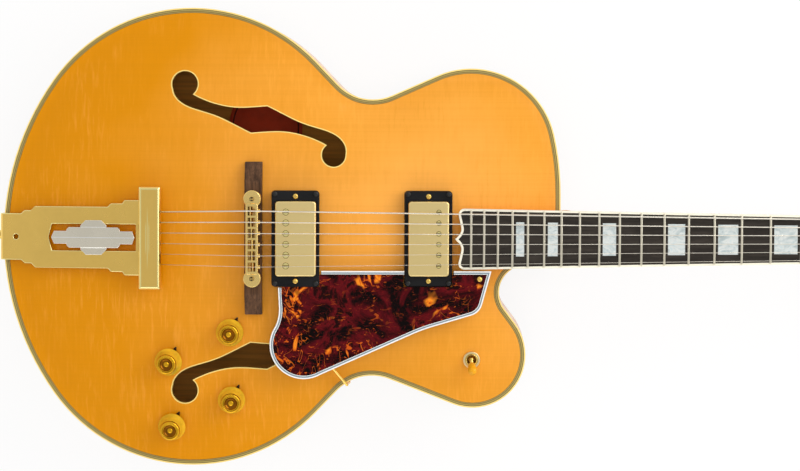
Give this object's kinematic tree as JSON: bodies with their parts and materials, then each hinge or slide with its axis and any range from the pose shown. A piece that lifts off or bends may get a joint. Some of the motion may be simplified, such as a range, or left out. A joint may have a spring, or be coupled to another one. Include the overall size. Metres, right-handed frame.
{
  "type": "archtop electric guitar",
  "caption": "Hollow-body archtop electric guitar with carved top, f-holes, rounded cutaway, covered pickups, adjustable bridge, trapeze tailpiece and geared tuning machines.",
  "frame": {"origin": "on the ground plane below the middle of the bounding box, guitar lying on its back", "axes": "+X from the tail to the headstock, +Y to the bass side, +Z out of the top"},
  "size_m": [1.081, 0.4318, 0.1473],
  "materials": {
    "top_wood": "clear gloss over amber spruce",
    "back_wood": "clear gloss over amber maple",
    "inner_wood": "raw",
    "cream_binding": "gloss",
    "black_veneer": "gloss",
    "ebony": "satin",
    "rosewood": "satin",
    "pearl": "pearl",
    "bone": "satin",
    "nickel": "satin",
    "steel": "satin",
    "gold": "satin gold plate",
    "black_plastic": "gloss",
    "tortoise": "marbled gloss",
    "amber_plastic": "clear gloss"
  },
  "bodies": {
    "guitar": {"top_plate": "top_wood", "back_plate": "back_wood", "rim": "back_wood", "body_bindings": "cream_binding", "f_hole_bindings": "cream_binding", "linings_and_bars": "inner_wood", "end_blocks": "inner_wood", "neck": "back_wood", "headstock_veneer": "black_veneer", "fingerboard": "ebony", "fingerboard_binding": "cream_binding", "frets": "nickel", "position_inlays": "pearl", "nut": "bone", "truss_rod": "steel", "truss_rod_cover": "black_plastic", "tuner_housings": "gold", "strings": "nickel", "bridge_base": "rosewood", "bridge_posts": "gold", "tailpiece": "gold", "tailpiece_insert": "nickel", "strap_button": "gold", "pickup_rings": "black_plastic", "screws": "gold", "pickguard": "tortoise", "pickguard_binding": "cream_binding", "pickguard_bracket": "gold", "potentiometers": "steel", "selector_switch": "gold", "output_jack": "gold"},
    "knob_neck_volume": {"knob_neck_volume": "amber_plastic"},
    "knob_neck_tone": {"knob_neck_tone": "amber_plastic"},
    "knob_bridge_volume": {"knob_bridge_volume": "amber_plastic"},
    "knob_bridge_tone": {"knob_bridge_tone": "amber_plastic"},
    "selector_lever": {"selector_lever": "gold"},
    "tuner_key_1": {"tuner_key_1": "gold"},
    "tuner_post_1": {"tuner_post_1": "gold"},
    "tuner_key_2": {"tuner_key_2": "gold"},
    "tuner_post_2": {"tuner_post_2": "gold"},
    "tuner_key_3": {"tuner_key_3": "gold"},
    "tuner_post_3": {"tuner_post_3": "gold"},
    "tuner_key_4": {"tuner_key_4": "gold"},
    "tuner_post_4": {"tuner_post_4": "gold"},
    "tuner_key_5": {"tuner_key_5": "gold"},
    "tuner_post_5": {"tuner_post_5": "gold"},
    "tuner_key_6": {"tuner_key_6": "gold"},
    "tuner_post_6": {"tuner_post_6": "gold"},
    "bridge_beam": {"bridge_beam": "gold", "intonation_screws": "gold"},
    "thumbwheel_bass": {"thumbwheel_bass": "gold"},
    "thumbwheel_treble": {"thumbwheel_treble": "gold"},
    "saddle_1": {"saddle_1": "gold"},
    "saddle_2": {"saddle_2": "gold"},
    "saddle_3": {"saddle_3": "gold"},
    "saddle_4": {"saddle_4": "gold"},
    "saddle_5": {"saddle_5": "gold"},
    "saddle_6": {"saddle_6": "gold"},
    "bridge_pickup": {"bridge_pickup": "gold"},
    "neck_pickup": {"neck_pickup": "gold"}
  },
  "joints": [
    {"name": "knob_neck_volume_turn", "type": "hinge", "parent": "guitar", "child": "knob_neck_volume", "pos_m": [-0.30679, -0.0885, 0.11672], "axis": [0.0145, -0.0737, 0.9972], "range_deg": [-150, 150]},
    {"name": "knob_neck_tone_turn", "type": "hinge", "parent": "guitar", "child": "knob_neck_tone", "pos_m": [-0.36469, -0.1167, 0.1141], "axis": [-0.0302, -0.0875, 0.9957], "range_deg": [-150, 150]},
    {"name": "knob_bridge_volume_turn", "type": "hinge", "parent": "guitar", "child": "knob_bridge_volume", "pos_m": [-0.30569, -0.1523, 0.1101], "axis": [0.0382, -0.1364, 0.9899], "range_deg": [-150, 150]},
    {"name": "knob_bridge_tone_turn", "type": "hinge", "parent": "guitar", "child": "knob_bridge_tone", "pos_m": [-0.36219, -0.1782, 0.10658], "axis": [-0.0257, -0.1703, 0.9851], "range_deg": [-150, 150]},
    {"name": "selector_swing", "type": "hinge", "parent": "guitar", "child": "selector_lever", "pos_m": [-0.08019, -0.11427, 0.10185], "axis": [-0.9986, -0.0017, 0.053], "range_deg": [0, 46]},
    {"name": "tuner_key_1_turn", "type": "hinge", "parent": "guitar", "child": "tuner_key_1", "pos_m": [0.40456, 0.021, 0.05078], "axis": [0, 1, 0], "continuous": true},
    {"name": "tuner_post_1_turn", "type": "hinge", "parent": "guitar", "child": "tuner_post_1", "pos_m": [0.40552, 0.021, 0.07401], "axis": [0.3486, 0, 0.9373], "continuous": true},
    {"name": "tuner_key_2_turn", "type": "hinge", "parent": "guitar", "child": "tuner_key_2", "pos_m": [0.44393, 0.023, 0.03614], "axis": [0, 1, 0], "continuous": true},
    {"name": "tuner_post_2_turn", "type": "hinge", "parent": "guitar", "child": "tuner_post_2", "pos_m": [0.44488, 0.023, 0.05937], "axis": [0.3486, 0, 0.9373], "continuous": true},
    {"name": "tuner_key_3_turn", "type": "hinge", "parent": "guitar", "child": "tuner_key_3", "pos_m": [0.48329, 0.025, 0.0215], "axis": [0, 1, 0], "continuous": true},
    {"name": "tuner_post_3_turn", "type": "hinge", "parent": "guitar", "child": "tuner_post_3", "pos_m": [0.48425, 0.025, 0.04473], "axis": [0.3486, 0, 0.9373], "continuous": true},
    {"name": "tuner_key_4_turn", "type": "hinge", "parent": "guitar", "child": "tuner_key_4", "pos_m": [0.48329, -0.025, 0.0215], "axis": [0, -1, 0], "continuous": true},
    {"name": "tuner_post_4_turn", "type": "hinge", "parent": "guitar", "child": "tuner_post_4", "pos_m": [0.48425, -0.025, 0.04473], "axis": [0.3486, 0, 0.9373], "continuous": true},
    {"name": "tuner_key_5_turn", "type": "hinge", "parent": "guitar", "child": "tuner_key_5", "pos_m": [0.44393, -0.023, 0.03614], "axis": [0, -1, 0], "continuous": true},
    {"name": "tuner_post_5_turn", "type": "hinge", "parent": "guitar", "child": "tuner_post_5", "pos_m": [0.44488, -0.023, 0.05937], "axis": [0.3486, 0, 0.9373], "continuous": true},
    {"name": "tuner_key_6_turn", "type": "hinge", "parent": "guitar", "child": "tuner_key_6", "pos_m": [0.40456, -0.021, 0.05078], "axis": [0, -1, 0], "continuous": true},
    {"name": "tuner_post_6_turn", "type": "hinge", "parent": "guitar", "child": "tuner_post_6", "pos_m": [0.40552, -0.021, 0.07401], "axis": [0.3486, 0, 0.9373], "continuous": true},
    {"name": "bridge_height", "type": "slide", "parent": "guitar", "child": "bridge_beam", "axis": [0, 0, 1], "range_m": [-0.0015, 0.0015], "deforming": ["strings"]},
    {"name": "thumbwheel_bass_turn", "type": "hinge", "parent": "bridge_beam", "child": "thumbwheel_bass", "pos_m": [-0.28429, 0.037, 0.1326], "axis": [0, 0, 1], "range_deg": [-676, 676]},
    {"name": "thumbwheel_treble_turn", "type": "hinge", "parent": "bridge_beam", "child": "thumbwheel_treble", "pos_m": [-0.28429, -0.037, 0.1326], "axis": [0, 0, 1], "range_deg": [-676, 676]},
    {"name": "saddle_1_slide", "type": "slide", "parent": "bridge_beam", "child": "saddle_1", "axis": [1, 0, 0], "range_m": [-0.00035, 0.00295], "deforming": ["strings"]},
    {"name": "saddle_2_slide", "type": "slide", "parent": "bridge_beam", "child": "saddle_2", "axis": [1, 0, 0], "range_m": [-0.00095, 0.00235], "deforming": ["strings"]},
    {"name": "saddle_3_slide", "type": "slide", "parent": "bridge_beam", "child": "saddle_3", "axis": [1, 0, 0], "range_m": [-0.00155, 0.00175], "deforming": ["strings"]},
    {"name": "saddle_4_slide", "type": "slide", "parent": "bridge_beam", "child": "saddle_4", "axis": [1, 0, 0], "range_m": [-0.00215, 0.00115], "deforming": ["strings"]},
    {"name": "saddle_5_slide", "type": "slide", "parent": "bridge_beam", "child": "saddle_5", "axis": [1, 0, 0], "range_m": [-0.00195, 0.00135], "deforming": ["strings"]},
    {"name": "saddle_6_slide", "type": "slide", "parent": "bridge_beam", "child": "saddle_6", "axis": [1, 0, 0], "range_m": [-0.00275, 0.00055], "deforming": ["strings"]},
    {"name": "bridge_pickup_height", "type": "slide", "parent": "guitar", "child": "bridge_pickup", "axis": [0.0797, 0, 0.9968], "range_m": [-0.003, 0.002]},
    {"name": "neck_pickup_height", "type": "slide", "parent": "guitar", "child": "neck_pickup", "axis": [0.0797, 0, 0.9968], "range_m": [-0.003, 0.002]}
  ],
  "couplings": [
    {"joint": "tuner_post_1_turn", "follows": "tuner_key_1_turn", "ratio": 0.071429},
    {"joint": "tuner_post_2_turn", "follows": "tuner_key_2_turn", "ratio": 0.071429},
    {"joint": "tuner_post_3_turn", "follows": "tuner_key_3_turn", "ratio": 0.071429},
    {"joint": "tuner_post_4_turn", "follows": "tuner_key_4_turn", "ratio": -0.071429},
    {"joint": "tuner_post_5_turn", "follows": "tuner_key_5_turn", "ratio": -0.071429},
    {"joint": "tuner_post_6_turn", "follows": "tuner_key_6_turn", "ratio": -0.071429},
    {"joint": "thumbwheel_bass_turn", "follows": "bridge_height", "rad_per_m": 7854},
    {"joint": "thumbwheel_treble_turn", "follows": "bridge_height", "rad_per_m": 7854}
  ]
}
